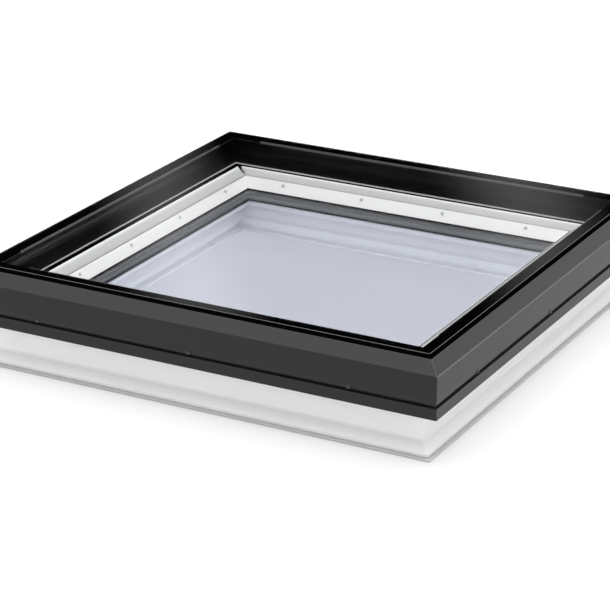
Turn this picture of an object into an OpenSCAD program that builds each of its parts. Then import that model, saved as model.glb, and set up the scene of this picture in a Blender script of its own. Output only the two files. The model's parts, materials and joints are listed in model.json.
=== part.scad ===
// Fixed flat-roof skylight with a flat cover pane, millimetres, Z up, origin at the bottom centre.

/* [Cover] */
// side of the square cover pane
pane_side = 1000; // [800:10:1300]
// thickness of the cover pane
pane_t = 4; // [3:0.5:6]
// cut at the cover pane's corners
pane_clip = 2.5; // [1:0.5:6]
// width of the black border under the pane
border_w = 26.5; // [22:0.5:32]
// thickness of the gasket under the pane
gasket_t = 3.5; // [2.5:0.5:5]
// height of the pane's top above the kerb's bearing face
cover_rise = 66; // [60:1:80]
// how far the cover's outer face stands outside the pane's edge
over = 29.5; // [27:0.5:36]
// how far the bevel's top edge stands outside the pane's edge
edge_in = 6.4; // [4:0.2:9]
// fall of the bevel along the top edge
bevel_drop = 22.5; // [16:0.5:25]
// distance from the kerb's bearing face down to the skirt's lower edge
skirt_drop = 51.6; // [44:0.2:60]
// height of the plain skirt below the groove
skirt_h = 22.8; // [16:0.2:24]
// height of the rolled groove above the skirt
groove_h = 20.8; // [14:0.2:22]
// depth of the rolled groove
groove_d = 5; // [3:0.2:8]
// wall thickness of the cover bars
rail_t = 2; // [1.6:0.1:2.4]
// height of the hollow curve on the cover's inner wall
cove_h = 23; // [18:0.5:28]
// length of the grey strips under the pane's edge
lip_len = 800; // [500:10:880]
// thickness of the grey strips
lip_t = 1.5; // [1:0.1:2]
// open joint at the mitres of the cover bars
mitre_gap = 0.3; // [0.1:0.1:1]

/* [Kerb] */
// height of the kerb's bearing face above the roof deck
base_h = 150; // [140:1:220]
// distance of the kerb's outer wall inside the pane's edge
wall_in = 22; // [20:0.5:24]
// distance of the kerb's inner wall inside the pane's edge
kerb_in = 79; // [77:0.5:84]
// height of the sloping foot
foot_h = 27; // [22:0.5:40]
// height of the foot's outer edge
foot_edge = 9.8; // [9:0.2:12]
// how far the foot's lower lip stands outside the pane's edge
foot_out = 7; // [2:0.5:8]
// height of the recess for the lining
lining_h = 34; // [28:1:40]
// depth of the recess for the lining
lining_d = 24; // [20:0.5:26]
// wall thickness of the PVC profiles
pvc_t = 3; // [2.5:0.1:3.5]

/* [Sash] */
// distance of the strips' outer edge inside the pane's edge
strip_out = 58.6; // [57:0.2:64]
// fall of the strips towards the glass
strip_fall = 5; // [3:0.5:7]
// width of the slots in the strips' corners
slot_w = 8; // [6:0.5:10]
// distance of the beads' lower edge inside the pane's edge
bead_in = 112.1; // [110:0.1:118]
// distance of the sash's nose inside the pane's edge
nose_in = 120; // [118:0.5:128]

/* [Glass unit] */
// distance from the kerb's bearing face down to the unit's top
glass_drop = 27; // [23:0.5:30]
// thickness of the unit's upper pane
upper_t = 4; // [4:0.5:6]
// width of the gas space
cavity = 18; // [12:1:20]
// thickness of each ply of the laminated lower pane
ply_t = 3; // [2.5:0.5:4]
// thickness of the plies' interlayer
film_t = 0.4; // [0.3:0.1:0.8]
// width of the edge cover from the glass edge to the spacer's face
sight = 28.5; // [27:0.5:32]

/* [Fasteners] */
// pitch of the four screws in each bead
bead_pitch = 200; // [120:5:220]
// pitch of the three screws in each cover bar
cover_pitch = 347; // [200:1:380]
// diameter of the fixing holes in the kerb's inner flange
fix_d = 6.5; // [4.5:0.5:9]
// distance between the two fixing holes on one side
fix_pitch = 600; // [300:10:640]

/* [Hidden] */
$fn = 32;
// clearance between glass and the seals on it
glass_gap = 0.05;
// clearance under the strips
seat_gap = 0.05;
// press fit clearance of the insulation, the cleats and the beads
foam_gap = 0.5;
cleat_gap = 0.3;
bead_gap = 0.2;
// clearance between the brackets and the groove's back
bracket_gap = 0.6;
// compressed seals and tapes
seal_t = 1.2;
lower_seal_t = 3;
upper_tape_t = 1.5;
lower_tape_t = 1.6;
butyl_t = 0.6;
// cover: top flange, hollow curve, slot, skirt and gasket lip
flange_in = 1.5;
cove_in = 14;
cove_out = 14;
ledge_in = 37;
slot_d = 9.2;
slot_h = 3.4;
skirt_out = 0.3;
skirt_lip = 8;
gasket_back = 0.2;
gasket_edge = 0.6;
gasket_lip = 2.5;
pane_show = 1.2;
lip_gap = 0.5;
cleat_len = 70;
// kerb: foot, ridge, flange, upstand and vents
under_d = 5;
under_h = 1;
edge_t = 2.4;
edge_out = 0.5;
drip_in = 4;
ridge = 1.6;
ridge_h = 1;
foot_t = 4;
flange_back = 4;
upstand_in = 39;
upstand_t = 1.5;
upstand_h = 4.4;
vent_d = 6;
vent_x = 120;
foam_mitre = 4;
// sash: strip, seal, bead, nose and drains
strip_w = 38.4;
strip_rise = 5.6;
strip_t = 3;
leg_t = 2.4;
leg_drop = 4;
glaze_in = 90;
sash_top = 6;
nose_h = 12;
nose_cut = 4;
slot_len = 46;
pad_drop = 4.5;
pad_t = 2;
seal_rim = 2.6;
seal_up = 1.6;
seal_dip = 0.6;
bead_top = 0.4;
bead_nib = 0.5;
bead_web = 3.8;
bead_shoulder = 7;
bead_lip = 5.8;
bead_seal_h = 2.4;
bead_seal_t = 1.4;
seal_tip = 0.2;
strip_joint = 0.4;
bead_joint = 0.1;
bead_k = 0.41;
bead_screw_down = 8.2;
bead_screw_len = 20.5;
tape_back = 4;
drain_d = 5;
drain_x = 60;
packer_w = 50;
packer_h = 26;
block_x = 120;
block_w = 80;
// glass unit: edge, seal and the spacer's shoulders
glass_in = 96;
edge_seal_w = 16;
seal_back = 0.5;
shoulder_w = 3.5;
shoulder_h = 5;
butyl_back = 0.6;
// screws and brackets
bead_screw_d = 3.9;
bead_head_d = 7.8;
bead_head_t = 1.7;
frame_screw_d = 4.2;
frame_head_d = 8;
frame_head_t = 2.5;
frame_screw_len = 60;
cover_screw_d = 4;
cover_head_d = 8.6;
cover_head_t = 1.7;
cover_screw_len = 16;
head_play = 0.4;
screw_up = 9.2;
screw_in = 1.6;
bracket_w = 52;
bracket_t = 2.5;
bracket_down = 4;
bracket_up = 26.5;
bracket_foot = 6;
bracket_pitch = 32;
bracket_screw_d = 4;
bracket_head_d = 8;
bracket_head_t = 2.2;
bracket_screw_up = 4;

S = pane_side / 2;
O = S + over;
zb = base_h;
zt = zb + cover_rise;
zp = zt - pane_t;
zg = zp - gasket_t;
zf = zb + seal_t;
zk = zb - skirt_drop;
zs = zk + skirt_h;
bevel_k = bevel_drop / (over - edge_in);
bevel_v = rail_t * sqrt(1 + bevel_k * bevel_k);
z_gt = zb - glass_drop;
z_up = z_gt - upper_t;
z_cv = z_up - cavity;
z_pl = z_cv - 2 * ply_t - film_t;
z_seat = z_pl - lower_tape_t;
z_sb = z_seat - nose_h;
z_rb = z_sb - lower_seal_t;
z_bt = z_gt + upper_tape_t;
z_fs = z_cv + cavity / 2;
z_screw = zs + screw_up;
h_screw = O - screw_in;
h_web = S - kerb_in + lining_d;
h_up = S - upstand_in;
h_strip = S - strip_out;
h_sash = h_strip - leg_t;
h_glaze = S - glaze_in;
h_nose = S - nose_in;
h_glass = S - glass_in;
h_sp = h_glass - sight;
h_es = h_glass - edge_seal_w;
strip_k = strip_fall / strip_w;
bead_tilt = atan(bead_k);
z_bs = zb - bead_screw_down;
packer_x = S / 2;

BACK = 0;
LEFT = 90;
FRONT = 180;
RIGHT = 270;

// Straight bar along X on the back side from a section of (distance from centre, height).
module bar(pts, len) {
  rotate([90, 0, 90])
    linear_extrude(height = len, center = true)
      polygon(pts);
}

// Wedge over one side, bounded by the two mitre planes.
module wedge(gap) {
  g = gap / sqrt(2);
  w = 1.2 * S;
  translate([0, 0, -zt])
    linear_extrude(height = 3 * zt)
      polygon([[0, g], [w, w + g], [-w, w + g]]);
}

module mitred(pts, gap) {
  intersection() {
    bar(pts, 2.3 * S);
    wedge(gap);
  }
}

// Bar with one or more chambers, mitred at both ends.
module mitred_hollow(pts, holes, gap) {
  intersection() {
    difference() {
      bar(pts, 2.3 * S);
      for (h = holes)
        bar(h, 2.4 * S);
    }
    wedge(gap);
  }
}

module four() {
  for (i = [0 : 3])
    rotate(90 * i)
      children();
}

// Square ring of rectangular section.
module ring(h_in, h_out, z0, z1) {
  difference() {
    translate([-h_out, -h_out, z0])
      cube([2 * h_out, 2 * h_out, z1 - z0]);
    translate([-h_in, -h_in, z0 - 1])
      cube([2 * h_in, 2 * h_in, z1 - z0 + 2]);
  }
}

module slab(h, z0, z1) {
  translate([-h, -h, z0])
    cube([2 * h, 2 * h, z1 - z0]);
}

// Cylinder on the back side, axis outward and downward by the given angle, started inward by back.
module pin(x, h, z, d, len, tilt = 0, back = 0) {
  translate([x, h, z])
    rotate([-90 - tilt, 0, 0])
      translate([0, 0, -back])
        cylinder(d = d, h = len);
}

// Upright hole on the back side.
module bore(x, h, d, z0, z1) {
  translate([x, h, z0 - 1])
    cylinder(d = d, h = z1 - z0 + 2);
}

// Block along the diagonal of the back side's right corner.
module diagonal(h, w, len, z0, z1, past) {
  rotate(-45)
    translate([-w / 2, h * sqrt(2) - len, z0])
      cube([w, len + past, z1 - z0]);
}

function rect(h0, h1, z0, z1) = [[h0, z0], [h1, z0], [h1, z1], [h0, z1]];

// Kerb

foot_k = (foot_h - foot_edge) / (wall_in + edge_out - ridge);
foot_v = pvc_t * sqrt(1 + foot_k * foot_k);

// Height of the foot chamber's ceiling under the slope.
function foot_z(h) = foot_edge + (S + edge_out - h) * foot_k - foot_v;

base_pts = [
  [S - kerb_in + flange_back, 0], [S + foot_out - under_d, 0], [S + foot_out - under_d, under_h],
  [S + foot_out, under_h], [S + foot_out, under_h + edge_t], [S - drip_in, under_h + edge_t],
  [S - drip_in, foot_edge - edge_t], [S + edge_out, foot_edge - edge_t], [S + edge_out, foot_edge],
  [S - wall_in + ridge, foot_h], [S - wall_in + ridge, foot_h + ridge_h],
  [S - wall_in, foot_h + ridge_h + 1.4 * ridge], [S - wall_in, zb], [h_up + upstand_t, zb],
  [h_up + upstand_t, zb + upstand_h], [h_up, zb + upstand_h], [h_up, z_rb], [S - kerb_in, z_rb],
  [S - kerb_in, lining_h], [h_web, lining_h], [h_web, foot_t], [S - kerb_in + flange_back, foot_t]];

base_holes = [
  rect(h_up + pvc_t, S - wall_in - pvc_t, z_rb + pvc_t, zb - pvc_t),
  rect(S - kerb_in + pvc_t, h_web, lining_h + pvc_t, z_rb - pvc_t),
  rect(h_web + pvc_t, S - wall_in - pvc_t, lining_h + pvc_t, z_rb - pvc_t),
  rect(h_web + pvc_t, S - wall_in - pvc_t, foot_t, lining_h),
  [[S - wall_in, foot_t], [S - drip_in - pvc_t, foot_t], [S - drip_in - pvc_t, foot_z(S - drip_in - pvc_t)],
    [S - wall_in, foot_z(S - wall_in)]]];

h_flange = (S - kerb_in + flange_back + h_web) / 2;
h_low = (h_web + S - wall_in) / 2;

module bracket_spots() {
  for (x = [-cover_pitch, 0, cover_pitch])
    for (d = [-bracket_pitch / 2, bracket_pitch / 2])
      translate([x + d, 0, 0])
        children();
}

module base_frame() {
  color([0.93, 0.93, 0.92])
    difference() {
      union() {
        four()
          mitred_hollow(base_pts, base_holes, 0);
      }
      four() {
        for (x = [-fix_pitch / 2, fix_pitch / 2])
          bore(x, h_flange, fix_d, 0, foot_t);
        for (x = [-packer_x, packer_x])
          pin(x, h_up - pvc_t, z_fs, frame_screw_d + head_play, 3 * pvc_t, 0);
        bracket_spots()
          pin(0, S - wall_in - 2 * pvc_t, zs + bracket_screw_up, bracket_screw_d + head_play, 3 * pvc_t, 0);
        bore(0, h_low, vent_d, 0, foot_t);
        bore(-vent_x, h_low, vent_d, lining_h, lining_h + pvc_t);
        bore(vent_x, h_flange, vent_d, lining_h, lining_h + pvc_t);
        bore(vent_x, S - wall_in + vent_d + 1, vent_d, 0, foot_t);
        bore(-vent_x - vent_d, (h_up + S - wall_in) / 2, vent_d, z_rb - pvc_t, z_rb + pvc_t);
      }
    }
}

module insulation_bar() {
  color([0.97, 0.97, 0.98])
    mitred(rect(h_web + pvc_t + foam_gap, S - wall_in - pvc_t - foam_gap, lining_h + pvc_t + foam_gap,
      z_rb - pvc_t - foam_gap), foam_mitre);
}

module insulation_front() {
  rotate(FRONT)
    insulation_bar();
}

module insulation_right() {
  rotate(RIGHT)
    insulation_bar();
}

module insulation_back() {
  rotate(BACK)
    insulation_bar();
}

module insulation_left() {
  rotate(LEFT)
    insulation_bar();
}

module lower_seal() {
  color([0.08, 0.08, 0.08])
    ring(S - kerb_in + flange_back, h_sash - 2 * pvc_t, z_rb, z_sb);
}

// Sash

// Height of the strips' underside over the sash.
function under(h) = zb + strip_rise - strip_t - (h_strip - h) * strip_k;

// Distance from centre of the bead's sloping face at a height.
function face(z) = S - bead_in + (z - z_gt) * bead_k;

sash_pts = [
  [h_nose + nose_cut, z_sb], [h_sash, z_sb], [h_sash, under(h_sash) - seat_gap],
  [h_glaze, under(h_glaze) - seat_gap], [h_glaze, z_seat], [h_nose, z_seat], [h_nose, z_seat - nose_cut]];

sash_holes = [
  rect(h_glaze + pvc_t, h_sash - pvc_t, z_seat + pvc_t, zb - sash_top),
  rect(h_nose + nose_cut + pvc_t, h_sash - pvc_t, z_sb + pvc_t, z_seat - pvc_t)];

module bead_spots() {
  for (k = [-1.5, -0.5, 0.5, 1.5])
    translate([k * bead_pitch, 0, 0])
      children();
}

module sash_frame() {
  color([0.92, 0.92, 0.92])
    difference() {
      union() {
        four()
          mitred_hollow(sash_pts, sash_holes, 0);
      }
      four() {
        bead_spots()
          pin(0, face(z_bs), z_bs, bead_screw_d + head_play, bead_screw_len + 1.5, bead_tilt);
        for (x = [-packer_x, packer_x])
          pin(x, h_glaze - 1, z_fs, frame_screw_d + head_play, h_sash - h_glaze + 3, 0);
        diagonal(h_sash, slot_w - 1, slot_len - 1, zb - pad_drop, zb + strip_rise, 20);
        bore(drain_x, (h_glass + h_glaze) / 2 - 0.5, drain_d - 1, z_seat - pvc_t, z_seat);
        bore(-drain_x, (h_glaze + h_sash) / 2, drain_d, z_sb, z_sb + pvc_t);
        bore(-drain_x - 30, (h_glaze + h_sash) / 2, drain_d, z_seat - pvc_t, z_seat + pvc_t);
      }
    }
}

module sash_packers() {
  color([0.15, 0.15, 0.16])
    four()
      for (x = [-packer_x, packer_x])
        difference() {
          translate([x - packer_w / 2, h_sash, z_fs - packer_h / 2])
            cube([packer_w, h_up - h_sash, packer_h]);
          pin(x, h_sash - 1, z_fs, frame_screw_d + head_play, h_up - h_sash + 2, 0);
        }
}

module frame_screws() {
  color([0.7, 0.7, 0.72])
    four()
      for (x = [-packer_x, packer_x]) {
        pin(x, h_glaze - frame_head_t, z_fs, frame_head_d, frame_head_t, 0);
        pin(x, h_glaze - 0.01, z_fs, frame_screw_d, frame_screw_len, 0);
      }
}

seal_pts = [
  [h_strip, zb - leg_drop], [h_up, zb - leg_drop], [h_up, zb + seal_up], [h_up - seal_rim, zb + seal_up],
  [h_up - 2.3 * seal_rim, zb - seal_dip], [h_strip + 2.5 * seal_rim, zb - seal_dip],
  [h_strip + seal_rim, zb + seal_up], [h_strip, zb + seal_up]];

module sash_seal() {
  color([0.05, 0.05, 0.05])
    four()
      mitred(seal_pts, 0);
}

strip_pts = [
  [h_strip, zb - leg_drop], [h_strip, zb + strip_rise], [h_strip - strip_w, zb + strip_rise - strip_fall],
  [h_strip - strip_w, under(h_strip - strip_w)], [h_sash, under(h_sash)], [h_sash, zb - leg_drop]];

module strip_bar() {
  color([0.9, 0.9, 0.9])
    difference() {
      mitred(strip_pts, strip_joint);
      for (m = [0, 1])
        mirror([m, 0, 0])
          diagonal(h_strip, slot_w, slot_len, zb - 2 * leg_drop, zb + 2 * strip_rise, 20);
    }
}

module strip_front() {
  rotate(FRONT)
    strip_bar();
}

module strip_right() {
  rotate(RIGHT)
    strip_bar();
}

module strip_back() {
  rotate(BACK)
    strip_bar();
}

module strip_left() {
  rotate(LEFT)
    strip_bar();
}

module corner_pads() {
  color([0.12, 0.12, 0.13])
    four()
      diagonal(h_sash, slot_w - 1, slot_len - 1.5, zb - pad_drop, zb - pad_drop + pad_t, -1);
}

// Room for a corner pad in the pieces inside it.
module pad_room() {
  diagonal(h_sash, slot_w - 1 + 2 * seat_gap, slot_len - 1.5 + seat_gap, zb - pad_drop - seat_gap,
    zb + strip_rise, 0);
}

// Beads

h_bead = h_glaze - bead_gap;

bead_pts = [
  [face(z_bt), z_bt], [h_bead, z_bt], [h_bead, zb - bead_shoulder], [h_bead - bead_lip, zb - bead_shoulder],
  [face(zb + bead_top) + bead_nib, zb + bead_top], [face(zb + bead_top), zb + bead_top]];

bead_hole = [
  [face(z_bt + pvc_t) + bead_web, z_bt + pvc_t], [h_bead - pvc_t, z_bt + pvc_t],
  [h_bead - pvc_t, zb - bead_shoulder - pvc_t],
  [face(zb - bead_shoulder - pvc_t) + bead_web, zb - bead_shoulder - pvc_t]];

module bead_bar() {
  color([0.95, 0.95, 0.95])
    difference() {
      mitred_hollow(bead_pts, [bead_hole], bead_joint);
      bead_spots() {
        pin(0, face(z_bs), z_bs, bead_screw_d + head_play, 1.5 * bead_screw_len, bead_tilt, 2);
        pin(0, face(z_bs), z_bs, bead_head_d + 1.5 * head_play, 4.6, bead_tilt, 4);
      }
      for (m = [0, 1])
        mirror([m, 0, 0])
          pad_room();
    }
}

module bead_front() {
  rotate(FRONT)
    bead_bar();
}

module bead_right() {
  rotate(RIGHT)
    bead_bar();
}

module bead_back() {
  rotate(BACK)
    bead_bar();
}

module bead_left() {
  rotate(LEFT)
    bead_bar();
}

// Outer side of the bead's nib at a height.
function nib(z) = face(zb + bead_top) + bead_nib + seat_gap
  + (zb + bead_top - z) * (h_bead - bead_lip - face(zb + bead_top) - bead_nib) / (bead_top + bead_shoulder);

bead_seal_pts = [
  [nib(zb + bead_top - seal_tip), zb + bead_top - seal_tip], [nib(zb - bead_shoulder), zb - bead_shoulder],
  [h_glaze - seat_gap, zb - bead_shoulder], [h_glaze - seat_gap, zb - bead_shoulder + bead_seal_h],
  [nib(zb - bead_shoulder + bead_seal_h) + bead_seal_t, zb - bead_shoulder + bead_seal_h],
  [nib(zb + bead_top - seal_tip - bead_seal_t) + bead_seal_t, zb + bead_top - seal_tip - bead_seal_t]];

module bead_seal() {
  color([0.3, 0.3, 0.3])
    difference() {
      union() {
        four()
          mitred(bead_seal_pts, 0);
      }
      four()
        pad_room();
    }
}

module bead_screws() {
  color([0.75, 0.76, 0.78])
    four()
      bead_spots()
        difference() {
          union() {
            pin(0, face(z_bs), z_bs, bead_head_d, bead_head_t, bead_tilt, 1.1);
            pin(0, face(z_bs), z_bs, bead_screw_d, bead_screw_len, bead_tilt, -0.5);
          }
          pin(0, face(z_bs), z_bs, 0.4 * bead_head_d, 3, bead_tilt, 2);
        }
}

// Glass unit

module upper_tape() {
  color([0.06, 0.06, 0.06])
    ring(face(z_gt), h_bead - tape_back, z_gt + glass_gap, z_bt);
}

module lower_tape() {
  color([0.06, 0.06, 0.06])
    ring(h_nose + pvc_t, h_glass - 1, z_seat, z_pl - glass_gap);
}

module setting_blocks() {
  color([0.2, 0.2, 0.2])
    four()
      for (x = [-block_x, block_x])
        translate([x - block_w / 2, h_glass, z_pl])
          cube([block_w, h_glaze - h_glass, z_gt - z_pl - 2]);
}

module outer_pane() {
  color([0.75, 0.85, 0.85, 0.4])
    slab(h_glass, z_up, z_gt);
}

// Section of one side of the spacer's butyl, from the glass up to the spacer's shoulder.
function butyl_pts(z, k) = [
  [h_sp + butyl_back, z + k * glass_gap], [h_es - 1, z + k * glass_gap], [h_es - 1, z + k * butyl_t],
  [h_sp + shoulder_w, z + k * butyl_t],
  [h_sp + butyl_back, z + k * (shoulder_h - glass_gap - butyl_back * (shoulder_h - butyl_t) / shoulder_w)]];

module butyl_upper() {
  color([0.1, 0.1, 0.1])
    four()
      mitred(butyl_pts(z_up, -1), 0);
}

spacer_pts = [
  [h_sp, z_cv + shoulder_h], [h_sp + shoulder_w, z_cv + butyl_t], [h_es, z_cv + butyl_t],
  [h_es, z_up - butyl_t], [h_sp + shoulder_w, z_up - butyl_t], [h_sp, z_up - shoulder_h]];

module spacer() {
  color([0.45, 0.45, 0.46])
    four()
      mitred(spacer_pts, 0);
}

module butyl_lower() {
  color([0.1, 0.1, 0.1])
    four()
      mitred(butyl_pts(z_cv, 1), 0);
}

module edge_seal() {
  color([0.07, 0.07, 0.07])
    ring(h_es, h_glass - seal_back, z_cv + glass_gap, z_up - glass_gap);
}

module ply_upper() {
  color([0.75, 0.85, 0.85, 0.4])
    slab(h_glass, z_cv - ply_t, z_cv);
}

module interlayer() {
  color([0.85, 0.88, 0.88, 0.4])
    slab(h_glass - seal_back, z_pl + ply_t, z_cv - ply_t);
}

module ply_lower() {
  color([0.75, 0.85, 0.85, 0.4])
    slab(h_glass, z_pl, z_pl + ply_t);
}

// Cover

module cover_seal() {
  color([0.05, 0.05, 0.05])
    ring(S - ledge_in + seal_back, S - wall_in, zb, zf);
}

// Underside of the bevel's wall.
function bevel_in(h) = zg - bevel_v - (h - S - edge_in) * bevel_k;

// Hollow curve of the inner wall, moved outward by t.
function cove(a, t) = [
  S - cove_in + (cove_in + cove_out) * sin(a) + t * sin(a), zf + rail_t + cove_h * (1 - cos(a)) - t * cos(a)];

// Quarter roll above the slot, from the face inward, moved inward by t.
function roll(a, t) = [
  O - groove_d * (1 - cos(a)) - t * cos(a), zs + groove_h - (groove_h - slot_h) * sin(a) + t * sin(a)];

rail_pts = concat(
  [[S - border_w - flange_in, zg - rail_t], [S - border_w - flange_in, zg], [S + edge_in, zg],
    [O, zg - bevel_drop]],
  [for (a = [0 : 15 : 90]) roll(a, 0)],
  [[O - slot_d, zs + slot_h], [O - slot_d, zs], [O + skirt_out, zs], [O + skirt_out, zk],
    [O + skirt_out - skirt_lip, zk], [O + skirt_out - skirt_lip, zk + rail_t],
    [O + skirt_out - rail_t, zk + rail_t], [O + skirt_out - rail_t, zs - rail_t],
    [O - slot_d - rail_t, zs - rail_t], [O - slot_d - rail_t, zs + slot_h + rail_t]],
  [for (a = [90 : -15 : 0]) roll(a, rail_t)],
  [[O - rail_t, zf], [S - ledge_in, zf], [S - ledge_in, zf + rail_t]],
  [for (a = [0 : 15 : 90]) cove(a, 0)],
  [[S + cove_out, bevel_in(S + cove_out)], [S + edge_in + (rail_t - bevel_v) / bevel_k, zg - rail_t]]);

rail_hole = concat(
  [[cove(30, rail_t)[0], zf + rail_t], [O - rail_t, zf + rail_t], [O - rail_t, bevel_in(O - rail_t)],
    [S + cove_out + rail_t, bevel_in(S + cove_out + rail_t)]],
  [for (a = [90 : -15 : 30]) cove(a, rail_t)]);

module cover_spots() {
  for (x = [-cover_pitch, 0, cover_pitch])
    translate([x, 0, 0])
      children();
}

module rail_bar() {
  color([0.24, 0.25, 0.26])
    difference() {
      mitred_hollow(rail_pts, [rail_hole], mitre_gap / 2);
      cover_spots() {
        pin(0, h_screw, z_screw, cover_head_d + 2 * head_play, 4 * rail_t, 0);
        pin(0, h_screw - 4 * rail_t, z_screw, cover_screw_d + head_play, 6 * rail_t, 0);
      }
    }
}

module rail_front() {
  rotate(FRONT)
    rail_bar();
}

module rail_right() {
  rotate(RIGHT)
    rail_bar();
}

module rail_back() {
  rotate(BACK)
    rail_bar();
}

module rail_left() {
  rotate(LEFT)
    rail_bar();
}

module corner_cleats() {
  h0 = S + cove_out + rail_t + cleat_gap;
  h1 = O - rail_t - cleat_gap;
  z0 = zf + rail_t + cleat_gap;
  z1 = bevel_in(O - rail_t) - cleat_gap;
  color([0.62, 0.62, 0.64])
    four() {
      translate([h1 - cleat_len, h0, z0])
        cube([cleat_len, h1 - h0, z1 - z0]);
      translate([h0, h1 - cleat_len, z0])
        cube([h1 - h0, cleat_len, z1 - z0]);
    }
}

gasket_pts = [
  [S - border_w, zg], [S + edge_in - gasket_back, zg], [S + edge_in - gasket_back, zg + gasket_edge],
  [S + gasket_lip, zt - pane_show - 1], [S + glass_gap, zt - pane_show], [S + glass_gap, zp - glass_gap],
  [S - border_w, zp - glass_gap]];

module cover_gasket() {
  color([0.04, 0.04, 0.04])
    four()
      mitred(gasket_pts, 0);
}

module lip_bar() {
  h1 = S - border_w - flange_in;
  color([0.5, 0.5, 0.5])
    intersection() {
      bar(rect(h1 - lip_t, h1, zg - rail_t, zp - lip_gap), lip_len);
      wedge(mitre_gap);
    }
}

module lip_front() {
  rotate(FRONT)
    lip_bar();
}

module lip_right() {
  rotate(RIGHT)
    lip_bar();
}

module lip_back() {
  rotate(BACK)
    lip_bar();
}

module lip_left() {
  rotate(LEFT)
    lip_bar();
}

module cover_pane() {
  c = pane_clip;
  color([0.75, 0.85, 0.87, 0.35])
    translate([0, 0, zp])
      linear_extrude(height = pane_t)
        polygon([[S - c, -S], [S, c - S], [S, S - c], [S - c, S],
          [c - S, S], [-S, S - c], [-S, c - S], [c - S, -S]]);
}

module cover_screws() {
  color([0.3, 0.3, 0.31])
    four()
      cover_spots()
        difference() {
          union() {
            pin(0, h_screw, z_screw, cover_head_d, cover_head_t, 0);
            pin(0, h_screw - cover_screw_len, z_screw, cover_screw_d, cover_screw_len + 0.5, 0);
          }
          pin(0, h_screw + cover_head_t / 2, z_screw, 0.42 * cover_head_d, cover_head_t, 0);
        }
}

module fixing_brackets() {
  h0 = S - wall_in;
  h1 = O - groove_d - bracket_gap;
  z1 = zs + bracket_up;
  color([0.66, 0.67, 0.69])
    four()
      cover_spots()
        difference() {
          translate([-bracket_w / 2, 0, 0])
            rotate([90, 0, 90])
              linear_extrude(height = bracket_w)
                polygon([[h0, zs - bracket_down], [h0 + bracket_t, zs - bracket_down],
                  [h0 + bracket_t, z1 - bracket_t], [h1 - bracket_t, z1 - bracket_t],
                  [h1 - bracket_t, zs + bracket_foot], [h1, zs + bracket_foot], [h1, z1], [h0, z1]]);
          pin(0, h1 - 2 * bracket_t, z_screw, cover_screw_d + head_play, 3 * bracket_t, 0);
          for (d = [-bracket_pitch / 2, bracket_pitch / 2])
            pin(d, h0 - 1, zs + bracket_screw_up, bracket_screw_d + head_play, bracket_t + 2, 0);
        }
}

module bracket_screws() {
  color([0.72, 0.72, 0.74])
    four()
      bracket_spots() {
        pin(0, S - wall_in + bracket_t, zs + bracket_screw_up, bracket_head_d, bracket_head_t, 0);
        pin(0, S - wall_in - 2 * pvc_t, zs + bracket_screw_up, bracket_screw_d, 2 * pvc_t + bracket_t + 0.1);
      }
}

base_frame();
insulation_front();
insulation_right();
insulation_back();
insulation_left();
lower_seal();
sash_frame();
sash_packers();
frame_screws();
sash_seal();
strip_front();
strip_right();
strip_back();
strip_left();
corner_pads();
bead_front();
bead_right();
bead_back();
bead_left();
bead_seal();
bead_screws();
upper_tape();
lower_tape();
setting_blocks();
outer_pane();
spacer();
butyl_upper();
butyl_lower();
edge_seal();
ply_upper();
interlayer();
ply_lower();
cover_seal();
rail_front();
rail_right();
rail_back();
rail_left();
corner_cleats();
cover_gasket();
lip_front();
lip_right();
lip_back();
lip_left();
cover_pane();
cover_screws();
fixing_brackets();
bracket_screws();
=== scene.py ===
# Looks of the fixed flat-roof skylight: finishes, small details, floor, light and camera.
import json
import math

import bpy
from mathutils import Matrix, Vector


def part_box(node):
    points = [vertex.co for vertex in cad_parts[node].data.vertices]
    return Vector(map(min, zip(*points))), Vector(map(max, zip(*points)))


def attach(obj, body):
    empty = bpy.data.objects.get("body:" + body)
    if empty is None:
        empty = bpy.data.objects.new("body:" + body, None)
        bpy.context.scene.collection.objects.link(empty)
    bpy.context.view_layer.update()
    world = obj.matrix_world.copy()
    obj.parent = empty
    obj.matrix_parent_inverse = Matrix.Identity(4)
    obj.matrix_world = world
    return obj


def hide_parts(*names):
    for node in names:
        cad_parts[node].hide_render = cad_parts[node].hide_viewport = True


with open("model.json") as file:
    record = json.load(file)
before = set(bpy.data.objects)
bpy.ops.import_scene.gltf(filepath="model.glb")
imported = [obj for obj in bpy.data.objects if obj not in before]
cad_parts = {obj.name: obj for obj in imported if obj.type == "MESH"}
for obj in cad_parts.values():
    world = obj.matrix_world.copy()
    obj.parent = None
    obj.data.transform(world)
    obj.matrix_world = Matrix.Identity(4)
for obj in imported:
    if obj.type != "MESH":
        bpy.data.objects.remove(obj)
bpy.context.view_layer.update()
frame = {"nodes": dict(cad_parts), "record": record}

MM = 0.001
SIDES = ("front", "right", "back", "left")
RAILS = ["rail_" + s for s in SIDES]
PVC_BARS = ["strip_" + s for s in SIDES] + ["bead_" + s for s in SIDES] + ["base_frame"]

# Colours used more than once
KERB_WHITE = (0.75, 0.75, 0.745)
PAINT = (0.0075, 0.0077, 0.008)
PAINT_SHADE = (0.0098, 0.0101, 0.0104)
SLATE_CAST = (0.9, 1.0, 1.12)

# Room seen in mirrored views: heights of its dark and bright parts as the direction's Z, and their strengths
ROOM_DARK_BELOW, ROOM_BRIGHT_ABOVE = 0.42, 0.75
ROOM_DARK, ROOM_BRIGHT, ROOM_PLAIN = 0.002, 2.25, 1.1

# Round panels of that room: direction, cosine where full, cosine where gone, strength
PANELS = (((0.37, 0.80, 0.47), 0.97, 0.88, 2.1),
          ((0.447, -0.07, 0.892), 0.995, 0.97, 3.5),
          ((0.545, 0.825, 0.12), 0.997, 0.985, 9.0))

# Upright light strips: bearing at a height, that height, lean, half width, strength
TUBES = ((-0.5578, 0.3156, 0.354, 0.034, 0.29),
         (-0.4060, 0.3173, 0.47, 0.039, 0.30))

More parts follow.
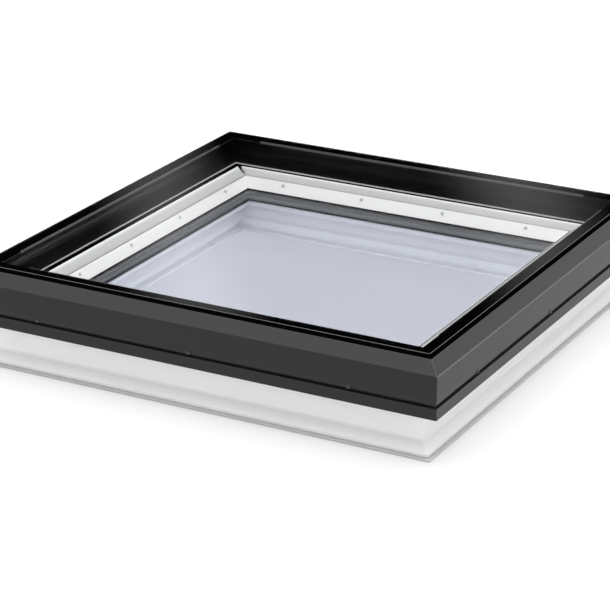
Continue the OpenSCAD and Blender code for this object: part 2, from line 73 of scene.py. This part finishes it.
# Floor: half side, colours in bounced and in direct view, share of plain white in direct and in mirrored view
FLOOR_HALF = 60.0
FLOOR_BOUNCE, FLOOR_SEEN = 0.95, 0.78
FLOOR_WHITE_SEEN, FLOOR_WHITE_MIRRORED = 0.33, 0.55


# Shader helpers

def new_node(tree, kind, at, values=None, **settings):
    made = tree.nodes.new(kind)
    made.location = at
    for key, value in settings.items():
        setattr(made, key, value)
    for key, value in (values or {}).items():
        made.inputs[key].default_value = value
    return made


def new_group(name, inputs, outputs):
    tree = bpy.data.node_groups.new(name, "ShaderNodeTree")
    for label, kind, value in inputs:
        made = tree.interface.new_socket(label, in_out="INPUT", socket_type=kind)
        made.default_value = value
    for label, kind in outputs:
        tree.interface.new_socket(label, in_out="OUTPUT", socket_type=kind)
    return tree, tree.nodes.new("NodeGroupInput"), tree.nodes.new("NodeGroupOutput")


def satin_grain():
    """Slow tone drift, fine grain and a roughness drift, stretched along the profile if asked."""
    tree, enter, leave = new_group(
        "satin_grain",
        [("Colour", "NodeSocketColor", (0.8, 0.8, 0.8, 1)),
         ("Shade", "NodeSocketColor", (0.7, 0.7, 0.7, 1)),
         ("Stretch", "NodeSocketVector", (1, 1, 1)),
         ("Drift Scale", "NodeSocketFloat", 6),
         ("Drift", "NodeSocketFloat", 0.2),
         ("Grain Scale", "NodeSocketFloat", 900),
         ("Roughness", "NodeSocketFloat", 0.4),
         ("Roughness Drift", "NodeSocketFloat", 0.08)],
        [("Colour", "NodeSocketColor"), ("Roughness", "NodeSocketFloat"), ("Height", "NodeSocketFloat")])
    link = tree.links.new
    where = new_node(tree, "ShaderNodeTexCoord", (-900, 0))
    drawn = new_node(tree, "ShaderNodeVectorMath", (-700, 0), operation="MULTIPLY")
    slow = new_node(tree, "ShaderNodeTexNoise", (-500, 150), {"Detail": 4, "Roughness": 0.55})
    fine = new_node(tree, "ShaderNodeTexNoise", (-500, -150), {"Detail": 3, "Roughness": 0.6})
    share = new_node(tree, "ShaderNodeMath", (-300, 200), operation="MULTIPLY")
    tone = new_node(tree, "ShaderNodeMix", (-100, 200), data_type="RGBA")
    centred = new_node(tree, "ShaderNodeMath", (-300, 0), {1: 0.5}, operation="SUBTRACT")
    swing = new_node(tree, "ShaderNodeMath", (-150, 0), operation="MULTIPLY")
    rough = new_node(tree, "ShaderNodeMath", (0, 0), operation="ADD")
    link(where.outputs["Object"], drawn.inputs[0])
    link(enter.outputs["Stretch"], drawn.inputs[1])
    link(drawn.outputs[0], slow.inputs["Vector"])
    link(drawn.outputs[0], fine.inputs["Vector"])
    link(enter.outputs["Drift Scale"], slow.inputs["Scale"])
    link(enter.outputs["Grain Scale"], fine.inputs["Scale"])
    link(slow.outputs["Fac"], share.inputs[0])
    link(enter.outputs["Drift"], share.inputs[1])
    link(share.outputs[0], tone.inputs["Factor"])
    link(enter.outputs["Colour"], tone.inputs["A"])
    link(enter.outputs["Shade"], tone.inputs["B"])
    link(slow.outputs["Fac"], centred.inputs[0])
    link(centred.outputs[0], swing.inputs[0])
    link(enter.outputs["Roughness Drift"], swing.inputs[1])
    link(swing.outputs[0], rough.inputs[0])
    link(enter.outputs["Roughness"], rough.inputs[1])
    link(tone.outputs["Result"], leave.inputs["Colour"])
    link(rough.outputs[0], leave.inputs["Roughness"])
    link(fine.outputs["Fac"], leave.inputs["Height"])
    return tree


GRAIN = satin_grain()


def opaque(name, colour, shade, rough, stretch=(1, 1, 1), drift_scale=6, drift=0.5, grain_scale=900,
           rough_drift=0.1, bump=0.1, bump_distance=0.02, specular=0.5, metallic=0.0):
    """Opaque finish: the shared grain on a Principled surface."""
    material = bpy.data.materials.new(name)
    material.use_nodes = True
    tree = material.node_tree
    tree.nodes.clear()
    grain = new_node(tree, "ShaderNodeGroup", (-600, 0), node_tree=GRAIN)
    for key, value in (("Colour", (*colour, 1)), ("Shade", (*shade, 1)), ("Stretch", stretch),
                       ("Drift Scale", drift_scale), ("Drift", drift), ("Grain Scale", grain_scale),
                       ("Roughness", rough), ("Roughness Drift", rough_drift)):
        grain.inputs[key].default_value = value
    surface = new_node(tree, "ShaderNodeBsdfPrincipled", (-100, 0),
                       {"Specular IOR Level": specular, "Metallic": metallic})
    relief = new_node(tree, "ShaderNodeBump", (-350, -250),
                      {"Strength": bump, "Distance": bump_distance * MM})
    out = new_node(tree, "ShaderNodeOutputMaterial", (250, 0))
    link = tree.links.new
    link(grain.outputs["Colour"], surface.inputs["Base Color"])
    link(grain.outputs["Roughness"], surface.inputs["Roughness"])
    link(grain.outputs["Height"], relief.inputs["Height"])
    link(relief.outputs["Normal"], surface.inputs["Normal"])
    link(surface.outputs[0], out.inputs["Surface"])
    return material


def clear_glass(name, tint, rough, ior):
    """Clear pane; lamps and bounced light pass straight through it."""
    material = bpy.data.materials.new(name)
    material.use_nodes = True
    tree = material.node_tree
    tree.nodes.clear()
    grain = new_node(tree, "ShaderNodeGroup", (-600, 0), node_tree=GRAIN)
    dim = tuple(c * 0.97 for c in tint)
    for key, value in (("Colour", (*tint, 1)), ("Shade", (*dim, 1)), ("Drift Scale", 2), ("Drift", 0.5),
                       ("Grain Scale", 40), ("Roughness", rough), ("Roughness Drift", 0.0)):
        grain.inputs[key].default_value = value
    surface = new_node(tree, "ShaderNodeBsdfPrincipled", (-100, 100),
                       {"Transmission Weight": 1.0, "IOR": ior, "Roughness": rough})
    pass_on = new_node(tree, "ShaderNodeBsdfTransparent", (-100, -300), {"Color": (0.99, 0.99, 0.99, 1)})
    rays = new_node(tree, "ShaderNodeLightPath", (-350, 400))
    either = new_node(tree, "ShaderNodeMath", (-100, 400), operation="MAXIMUM")
    mixed = new_node(tree, "ShaderNodeMixShader", (150, 0))
    out = new_node(tree, "ShaderNodeOutputMaterial", (350, 0))
    link = tree.links.new
    link(grain.outputs["Colour"], surface.inputs["Base Color"])
    link(rays.outputs["Is Shadow Ray"], either.inputs[0])
    link(rays.outputs["Is Diffuse Ray"], either.inputs[1])
    link(either.outputs[0], mixed.inputs["Fac"])
    link(surface.outputs[0], mixed.inputs[1])
    link(pass_on.outputs[0], mixed.inputs[2])
    link(mixed.outputs[0], out.inputs["Surface"])
    return material


def square_place(tree):
    """Half side of the square through a point, distance from the mitres, height, and a value above 0 on side bars."""
    link = tree.links.new
    where = new_node(tree, "ShaderNodeTexCoord", (-1900, 0))
    size = new_node(tree, "ShaderNodeVectorMath", (-1700, 0), operation="ABSOLUTE")
    split = new_node(tree, "ShaderNodeSeparateXYZ", (-1500, 0))
    reach = new_node(tree, "ShaderNodeMath", (-1300, 100), operation="MAXIMUM")
    apart = new_node(tree, "ShaderNodeMath", (-1300, -100), operation="SUBTRACT")
    mitre = new_node(tree, "ShaderNodeMath", (-1150, -100), operation="ABSOLUTE")
    link(where.outputs["Object"], size.inputs[0])
    link(size.outputs[0], split.inputs[0])
    link(split.outputs["X"], reach.inputs[0])
    link(split.outputs["Y"], reach.inputs[1])
    link(split.outputs["X"], apart.inputs[0])
    link(split.outputs["Y"], apart.inputs[1])
    link(apart.outputs[0], mitre.inputs[0])
    return reach.outputs[0], mitre.outputs[0], split.outputs["Z"], apart.outputs[0]


def between(tree, value, low, high):
    """Share from 0 at low to 1 at high."""
    made = new_node(tree, "ShaderNodeMapRange", (-1000, 0), {"From Min": low, "From Max": high})
    tree.links.new(value, made.inputs["Value"])
    return made.outputs[0]


def tones(tree, share, levels, cast=(1.0, 1.006, 1.008)):
    """Grey tones with a slight cast by position along a share from 0 to 1."""
    made = new_node(tree, "ShaderNodeValToRGB", (-850, 200))
    stops = made.color_ramp.elements
    stops[0].position, stops[1].position = levels[0][0], levels[-1][0]
    for position, _ in levels[1:-1]:
        stops.new(position)
    for stop, (_, level) in zip(stops, levels):
        stop.color = (*(level * c for c in cast), 1)
    tree.links.new(share, made.inputs["Fac"])
    return made.outputs["Color"]


def grain_of(material):
    """The shared grain in a material."""
    return next(n for n in material.node_tree.nodes if n.type == "GROUP")


def toned_strip():
    """Grey satin strip with painted shade, greyer towards the glass, and a painted highlight along its outer edge."""
    (_, inner, _), (_, outer, _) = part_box("strip_back")
    material = opaque("strip_pvc", (0.5, 0.5, 0.5), (0.47, 0.47, 0.475), 0.35, drift=0.3, bump=0.05)
    tree = material.node_tree
    reach = square_place(tree)[0]
    # Painted shade towards the glass and a painted highlight along the outer edge, by distance from the centre.
    tone = tones(tree, between(tree, reach, inner, outer),
                 ((0.0, 0.41), (0.2, 0.48), (0.65, 0.55), (0.8, 0.70), (0.88, 0.95), (1.0, 0.97)))
    tree.links.new(tone, grain_of(material).inputs["Colour"])
    return material


def toned_spacer():
    """Slate-grey spacer bar, lighter along its middle."""
    low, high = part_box("spacer")
    material = opaque("spacer_plastic", (0.05, 0.05, 0.05), (0.06, 0.066, 0.073), 0.5, drift=0.1, bump=0.1,
                      specular=0.1)
    tree = material.node_tree
    height = square_place(tree)[2]
    tone = tones(tree, between(tree, height, low[2], high[2]),
                 ((0.0, 0.06), (0.2, 0.06), (0.35, 0.1), (0.5, 0.115), (0.6, 0.09), (0.75, 0.052), (1.0, 0.05)),
                 SLATE_CAST)
    tree.links.new(tone, grain_of(material).inputs["Colour"])
    return material


def edged_kerb():
    """White satin kerb; at the foot's edge grey lips with painted shade on them and on the slope just above; inside
    the shaft painted shade on the wall and painted light in the recess.
    """
    material = opaque("kerb_pvc", KERB_WHITE, (0.725, 0.725, 0.72), 0.42, drift=0.5, bump=0.05)
    tree = material.node_tree
    link = tree.links.new
    reach, _, height, _ = square_place(tree)
    # Foot's edge by height: grey lips with painted shade, also on the last millimetres of the slope.
    tone = tones(tree, between(tree, height, 0.0, 12 * MM),
                 ((0.0, 0.31), (0.25, 0.31), (0.27, 0.6), (0.315, 0.6), (0.35, 0.8), (0.58, 0.8), (0.62, 0.62),
                  (0.9, 0.62), (0.95, 0.68), (1.0, 0.75)))
    lips = new_node(tree, "ShaderNodeMix", (-850, -100), {"A": (*KERB_WHITE, 1)}, data_type="RGBA")
    # Inside the shaft by height: painted light in the recess, painted shade on the wall above it.
    wall = tones(tree, between(tree, height, 0.0, 33 * MM),
                 ((0.0, 0.68), (0.1, 0.68), (0.14, 0.83), (0.95, 0.83), (1.0, 0.67)))
    inside = new_node(tree, "ShaderNodeMix", (-780, -100), data_type="RGBA")
    dull = new_node(tree, "ShaderNodeMix", (-700, -250), {"B": (0.96, 0.96, 0.96, 1), "Factor": 1.0},
                    data_type="RGBA", blend_type="MULTIPLY")
    link(between(tree, reach, 493.4 * MM, 494.0 * MM), lips.inputs["Factor"])
    link(tone, lips.inputs["B"])
    link(between(tree, reach, 447 * MM, 446 * MM), inside.inputs["Factor"])
    link(lips.outputs["Result"], inside.inputs["A"])
    link(wall, inside.inputs["B"])
    link(inside.outputs["Result"], dull.inputs["A"])
    link(inside.outputs["Result"], grain_of(material).inputs["Colour"])
    link(dull.outputs["Result"], grain_of(material).inputs["Shade"])
    return material


def all_of(tree, shares):
    """Product of several shares."""
    whole = shares[0]
    for share in shares[1:]:
        less = new_node(tree, "ShaderNodeMath", (-850, -300), operation="MULTIPLY")
        tree.links.new(whole, less.inputs[0])
        tree.links.new(share, less.inputs[1])
        whole = less.outputs[0]
    return whole


def cover_paint():
    """Dark fine satin paint, with a painted highlight along the mitres, a painted highlight on the side bars' lower
    bevel edge and painted light that lifts the shade in the groove.
    """
    material = opaque("cover_paint", PAINT, PAINT_SHADE, 0.36, drift=0.7, stretch=(1.5, 1.5, 60),
                      drift_scale=3, bump=0.2, specular=0.275)
    tree = material.node_tree
    link = tree.links.new
    reach, mitre, height, side = square_place(tree)
    # Painted highlight: lighter along the mitres on the bevel.
    painted_mitre_highlight = (between(tree, mitre, 0.9 * MM, 0.5 * MM), between(tree, height, 186 * MM, 187 * MM))
    # Painted highlight: a light line on the side bars' lower bevel edge.
    painted_arris_highlight = (between(tree, side, 0.0, 0.2 * MM), between(tree, reach, 527.8 * MM, 528.2 * MM),
            between(tree, height, 184.4 * MM, 184.8 * MM), between(tree, height, 186.6 * MM, 186.2 * MM))
    # Painted light: the groove's shade lifted.
    painted_groove_light = (between(tree, reach, 527.5 * MM, 526 * MM), between(tree, height, 121 * MM, 121.6 * MM),
             between(tree, height, 130 * MM, 128.5 * MM))
    colour = None
    for tone, shares in ((0.3, painted_mitre_highlight), (0.13, painted_arris_highlight), (0.035, painted_groove_light)):
        laid = new_node(tree, "ShaderNodeMix", (-550, -100), {"A": (*PAINT, 1), "B": (tone, tone, tone, 1)},
                        data_type="RGBA")
        link(all_of(tree, shares), laid.inputs["Factor"])
        if colour:
            link(colour, laid.inputs["A"])
        colour = laid.outputs["Result"]
    link(colour, grain_of(material).inputs["Colour"])
    return material


def ground_edge():
    """Frosted ground glass, grey outside and painted dark where it is seen through the pane: painted shade."""
    material = opaque("ground_edge", (0.13, 0.134, 0.134), (0.1, 0.104, 0.104), 0.6, grain_scale=1400, bump=0.2)
    tree = material.node_tree
    link = tree.links.new
    surface = next(n for n in tree.nodes if n.type == "BSDF_PRINCIPLED")
    face = new_node(tree, "ShaderNodeNewGeometry", (-600, 300))
    # Painted shade: the edge turns near black where it is seen from inside the pane.
    painted_dark_inside = new_node(tree, "ShaderNodeMix", (-350, 200), {"B": (0.001, 0.001, 0.001, 1)}, data_type="RGBA")
    link(face.outputs["Backfacing"], painted_dark_inside.inputs["Factor"])
    link(grain_of(material).outputs["Colour"], painted_dark_inside.inputs["A"])
    link(painted_dark_inside.outputs["Result"], surface.inputs["Base Color"])
    return material


FINISHES = {
    "kerb_pvc": edged_kerb(),
    "sash_pvc": opaque("sash_pvc", (0.67, 0.675, 0.68), (0.65, 0.655, 0.66), 0.4, drift=0.6, bump=0.05),
    "strip_pvc": toned_strip(),
    # Bead painted brighter than the kerb's white PVC: painted light.
    "bead_pvc": opaque("bead_pvc", (0.96, 0.965, 0.965), (0.94, 0.945, 0.945), 0.3, drift=0.6, bump=0.05),
    "foam": opaque("foam", (0.85, 0.86, 0.88), (0.75, 0.76, 0.78), 0.8, grain_scale=300, bump=0.6,
                   bump_distance=0.4),
    "black_rubber": opaque("black_rubber", (0.0008, 0.0008, 0.0009), (0.0014, 0.0014, 0.0015), 0.7,
                           grain_scale=1400, bump=0.25, specular=0.0),
    "sealant": opaque("sealant", (0.012, 0.012, 0.013), (0.02, 0.02, 0.022), 0.5, grain_scale=200, bump=0.2),
    "seal_grey": opaque("seal_grey", (0.1, 0.1, 0.103), (0.12, 0.12, 0.123), 0.6, grain_scale=1400, bump=0.2),
    "packer_plastic": opaque("packer_plastic", (0.05, 0.05, 0.052), (0.075, 0.075, 0.078), 0.6, bump=0.2),
    "zinc_steel": opaque("zinc_steel", (0.7, 0.71, 0.72), (0.56, 0.57, 0.58), 0.34, drift_scale=60,
                         metallic=0.3, bump=0.1),
    "dark_steel": opaque("dark_steel", (0.022, 0.0225, 0.023), (0.028, 0.0285, 0.029), 0.32, drift_scale=60,
                         bump=0.1, specular=0.4),
    "spacer_plastic": toned_spacer(),
    "mill_aluminium": opaque("mill_aluminium", (0.6, 0.6, 0.61), (0.5, 0.5, 0.52), 0.4, metallic=1.0, bump=0.1),
    "lip_grey": opaque("lip_grey", (0.09, 0.09, 0.094), (0.075, 0.075, 0.079), 0.45, bump=0.05),
    "cover_paint": cover_paint(),
    "cover_edge": opaque("cover_edge", PAINT, PAINT_SHADE, 0.15, drift=0.7, bump=0.05),
    "unit_glass": clear_glass("unit_glass", (0.92, 0.935, 0.99), 0.0, 1.12),
    "film": clear_glass("film", (0.98, 0.985, 0.99), 0.0, 1.22),
    "ground_edge": ground_edge(),
    "cover_glass": clear_glass("cover_glass", (0.985, 0.99, 0.995), 0.0, 1.3),
}


def dress():
    """Gives every CAD node its finish from the record's slots."""
    slots = {s["node"]: s["material_slot"] for s in frame["record"]["subparts"]}
    for name, thing in frame["nodes"].items():
        finish = FINISHES[slots[name]]
        for place in thing.material_slots:
            place.material = finish


def soften(names, width, segments=2, angle=25, blend=True, clamp=True):
    """Small rounded edges on CAD bars, as an extrusion or a saw cut leaves them."""
    for name in names:
        thing = frame["nodes"][name]
        weld = thing.modifiers.new("weld", "WELD")
        weld.merge_threshold = 0.002 * MM
        edge = thing.modifiers.new("edge", "BEVEL")
        edge.width = width * MM
        edge.segments = segments
        edge.limit_method = "ANGLE"
        edge.angle_limit = math.radians(angle)
        edge.harden_normals = blend
        edge.use_clamp_overlap = clamp


def finish_edges(names, finish):
    """Gives the softened edges a finish of their own."""
    for name in names:
        thing = frame["nodes"][name]
        thing.data.materials.append(FINISHES[finish])
        thing.modifiers["edge"].material = len(thing.data.materials) - 1


def new_piece(name, verts, faces, finish):
    """Piece of the object that rides with it."""
    mesh = bpy.data.meshes.new(name)
    mesh.from_pydata(verts, [], faces)
    mesh.materials.append(finish)
    thing = bpy.data.objects.new(name, mesh)
    bpy.context.scene.collection.objects.link(thing)
    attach(thing, "root")
    return thing


def laminated_pane():
    """The two plies and their film as one pane with small flats along its edges."""
    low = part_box("ply_lower")[0]
    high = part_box("ply_upper")[1]
    half, arris = high[0], 0.5 * MM
    rings = [(half - arris, low[2]), (half, low[2] + arris), (half, high[2] - arris), (half - arris, high[2])]
    verts, faces = [], []
    for h, z in rings:
        verts += [(-h, -h, z), (h, -h, z), (h, h, z), (-h, h, z)]
    for k in range(len(rings) - 1):
        for i in range(4):
            j = (i + 1) % 4
            faces.append((4 * k + i, 4 * k + j, 4 * k + 4 + j, 4 * k + 4 + i))
    faces += [(3, 2, 1, 0), (12, 13, 14, 15)]
    pane = new_piece("laminated_pane", verts, faces, FINISHES["unit_glass"])
    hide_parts("ply_upper", "interlayer", "ply_lower")


def floor():
    """Plain white floor that keeps the object's shadow; through glass it is plain white."""
    mesh = bpy.data.meshes.new("floor")
    r = FLOOR_HALF
    mesh.from_pydata([(-r, -r, 0), (r, -r, 0), (r, r, 0), (-r, r, 0)], [], [(0, 1, 2, 3)])
    thing = bpy.data.objects.new("floor", mesh)
    bpy.context.scene.collection.objects.link(thing)
    material = bpy.data.materials.new("floor_white")
    material.use_nodes = True
    tree = material.node_tree
    tree.nodes.clear()
    matt = new_node(tree, "ShaderNodeBsdfDiffuse", (-200, 100))
    white = new_node(tree, "ShaderNodeMix", (-400, 100),
                     {"A": (*[FLOOR_BOUNCE] * 3, 1), "B": (*[FLOOR_SEEN] * 3, 1)}, data_type="RGBA")
    lit = new_node(tree, "ShaderNodeEmission", (-200, -100), {"Color": (1, 1, 1, 1), "Strength": 1.0})
    rays = new_node(tree, "ShaderNodeLightPath", (-700, 300))
    seen = new_node(tree, "ShaderNodeMath", (-500, 400), {1: FLOOR_WHITE_SEEN}, operation="MULTIPLY")
    mirrored = new_node(tree, "ShaderNodeMath", (-500, 200), {1: FLOOR_WHITE_MIRRORED}, operation="MULTIPLY")
    one = new_node(tree, "ShaderNodeMath", (-350, 300), operation="MAXIMUM")
    two = new_node(tree, "ShaderNodeMath", (-200, 300), operation="MAXIMUM")
    mixed = new_node(tree, "ShaderNodeMixShader", (0, 0))
    out = new_node(tree, "ShaderNodeOutputMaterial", (200, 0))
    link = tree.links.new
    link(rays.outputs["Is Camera Ray"], white.inputs["Factor"])
    link(white.outputs["Result"], matt.inputs["Color"])
    link(rays.outputs["Is Camera Ray"], seen.inputs[0])
    link(rays.outputs["Is Glossy Ray"], mirrored.inputs[0])
    link(seen.outputs[0], one.inputs[0])
    link(mirrored.outputs[0], one.inputs[1])
    link(one.outputs[0], two.inputs[0])
    link(rays.outputs["Is Transmission Ray"], two.inputs[1])
    link(two.outputs[0], mixed.inputs["Fac"])
    link(matt.outputs[0], mixed.inputs[1])
    link(lit.outputs[0], mixed.inputs[2])
    link(mixed.outputs[0], out.inputs["Surface"])
    mesh.materials.append(material)


def spot(tree, where, toward, inner, outer, strength):
    """Soft round panel in a direction of the mirrored room."""
    facing = new_node(tree, "ShaderNodeVectorMath", (-1000, -250), operation="DOT_PRODUCT")
    facing.inputs[1].default_value = Vector(toward).normalized()
    panel = new_node(tree, "ShaderNodeMapRange", (-800, -250),
                     {"From Min": outer, "From Max": inner, "To Min": 0.0, "To Max": strength},
                     interpolation_type="SMOOTHSTEP")
    tree.links.new(where.outputs["Generated"], facing.inputs[0])
    tree.links.new(facing.outputs["Value"], panel.inputs["Value"])
    return panel.outputs[0]


def tube(tree, split, bearing, at_height, lean, half, strength):
    """Soft upright light strip of the mirrored room, by its bearing and lean."""
    link = tree.links.new
    turn = new_node(tree, "ShaderNodeMath", (-1000, -500), operation="ARCTAN2")
    rise = new_node(tree, "ShaderNodeMath", (-1000, -650), {1: -lean}, operation="MULTIPLY")
    both = new_node(tree, "ShaderNodeMath", (-850, -500), operation="ADD")
    off = new_node(tree, "ShaderNodeMath", (-700, -500), {1: bearing - lean * at_height}, operation="SUBTRACT")
    far = new_node(tree, "ShaderNodeMath", (-600, -500), operation="ABSOLUTE")
    panel = new_node(tree, "ShaderNodeMapRange", (-500, -500),
                     {"From Min": half, "From Max": 0.0, "To Min": 0.0, "To Max": strength},
                     interpolation_type="SMOOTHSTEP")
    link(split.outputs["X"], turn.inputs[0])
    link(split.outputs["Y"], turn.inputs[1])
    link(split.outputs["Z"], rise.inputs[0])
    link(turn.outputs[0], both.inputs[0])
    link(rise.outputs[0], both.inputs[1])
    link(both.outputs[0], off.inputs[0])
    link(off.outputs[0], far.inputs[0])
    link(far.outputs[0], panel.inputs["Value"])
    return panel.outputs[0]


def studio():
    """Even white room: in mirrored views bright above, dark at the horizon, with a few soft panels."""
    world = bpy.data.worlds.new("studio")
    bpy.context.scene.world = world
    world.use_nodes = True
    tree = world.node_tree
    tree.nodes.clear()
    link = tree.links.new
    where = new_node(tree, "ShaderNodeTexCoord", (-1200, 0))
    split = new_node(tree, "ShaderNodeSeparateXYZ", (-1000, 0))
    height = new_node(tree, "ShaderNodeMapRange", (-800, 100),
                      {"From Min": ROOM_DARK_BELOW, "From Max": ROOM_BRIGHT_ABOVE,
                       "To Min": ROOM_DARK, "To Max": ROOM_BRIGHT}, interpolation_type="SMOOTHSTEP")
    mirrored = new_node(tree, "ShaderNodeBackground", (-400, 0))
    plain = new_node(tree, "ShaderNodeBackground", (-400, 200), {"Color": (1, 1, 1, 1), "Strength": ROOM_PLAIN})
    rays = new_node(tree, "ShaderNodeLightPath", (-400, 500))
    mixed = new_node(tree, "ShaderNodeMixShader", (-100, 100))
    out = new_node(tree, "ShaderNodeOutputWorld", (100, 100))
    link(where.outputs["Generated"], split.inputs[0])
    link(split.outputs["Z"], height.inputs["Value"])
    brightest = height.outputs[0]
    for panel in [spot(tree, where, *values) for values in PANELS] + [tube(tree, split, *values) for values in TUBES]:
        more = new_node(tree, "ShaderNodeMath", (-600, 0), operation="MAXIMUM")
        link(brightest, more.inputs[0])
        link(panel, more.inputs[1])
        brightest = more.outputs[0]
    link(brightest, mirrored.inputs["Strength"])
    either = new_node(tree, "ShaderNodeMath", (-250, 500), operation="MAXIMUM")
    link(rays.outputs["Is Glossy Ray"], either.inputs[0])
    link(rays.outputs["Is Transmission Ray"], either.inputs[1])
    link(either.outputs[0], mixed.inputs["Fac"])
    link(plain.outputs[0], mixed.inputs[1])
    link(mirrored.outputs[0], mixed.inputs[2])
    link(mixed.outputs[0], out.inputs["Surface"])


def area_light(name, size, power, at):
    """Square lamp facing down."""
    data = bpy.data.lights.new(name, "AREA")
    data.shape = "SQUARE"
    data.size = size
    data.energy = power
    thing = bpy.data.objects.new(name, data)
    thing.location = at
    bpy.context.scene.collection.objects.link(thing)
    return thing


def lamps():
    """Wide soft light overhead, and a low one that lights the floor inside the opening."""
    area_light("softbox", 9.0, 330.0, (0.0, 0.0, 5.0))
    low = area_light("floor_light", 0.874, 2.0, (0.0, 0.0, 0.0335))
    low.visible_camera = low.visible_glossy = low.visible_transmission = False


def camera():
    """Camera solved from the photograph's straight edges."""
    data = bpy.data.cameras.new("camera")
    data.sensor_fit = "HORIZONTAL"
    data.sensor_width = 36.0
    data.lens = 148.36
    data.clip_start, data.clip_end = 0.1, 200.0
    thing = bpy.data.objects.new("camera", data)
    bpy.context.scene.collection.objects.link(thing)
    right = Vector((0.879939, 0.475087, 0.0))
    up = Vector((-0.173415, 0.321217, 0.930993))
    back = right.cross(up)
    turn = Matrix((right, up, back)).transposed().to_4x4()
    thing.matrix_world = Matrix.Translation((2.31870, -4.34983, 1.97895)) @ turn
    bpy.context.scene.camera = thing


dress()
soften(RAILS, 0.35, angle=35, clamp=False)
finish_edges(RAILS, "cover_edge")
soften(PVC_BARS, 0.5)
soften(["cover_screws"], 0.7, segments=3)
soften(["cover_pane"], 0.55, segments=1, angle=60, blend=False)
finish_edges(["cover_pane"], "ground_edge")
laminated_pane()
floor()
studio()
lamps()
camera()
bpy.context.scene.view_settings.view_transform = "Standard"
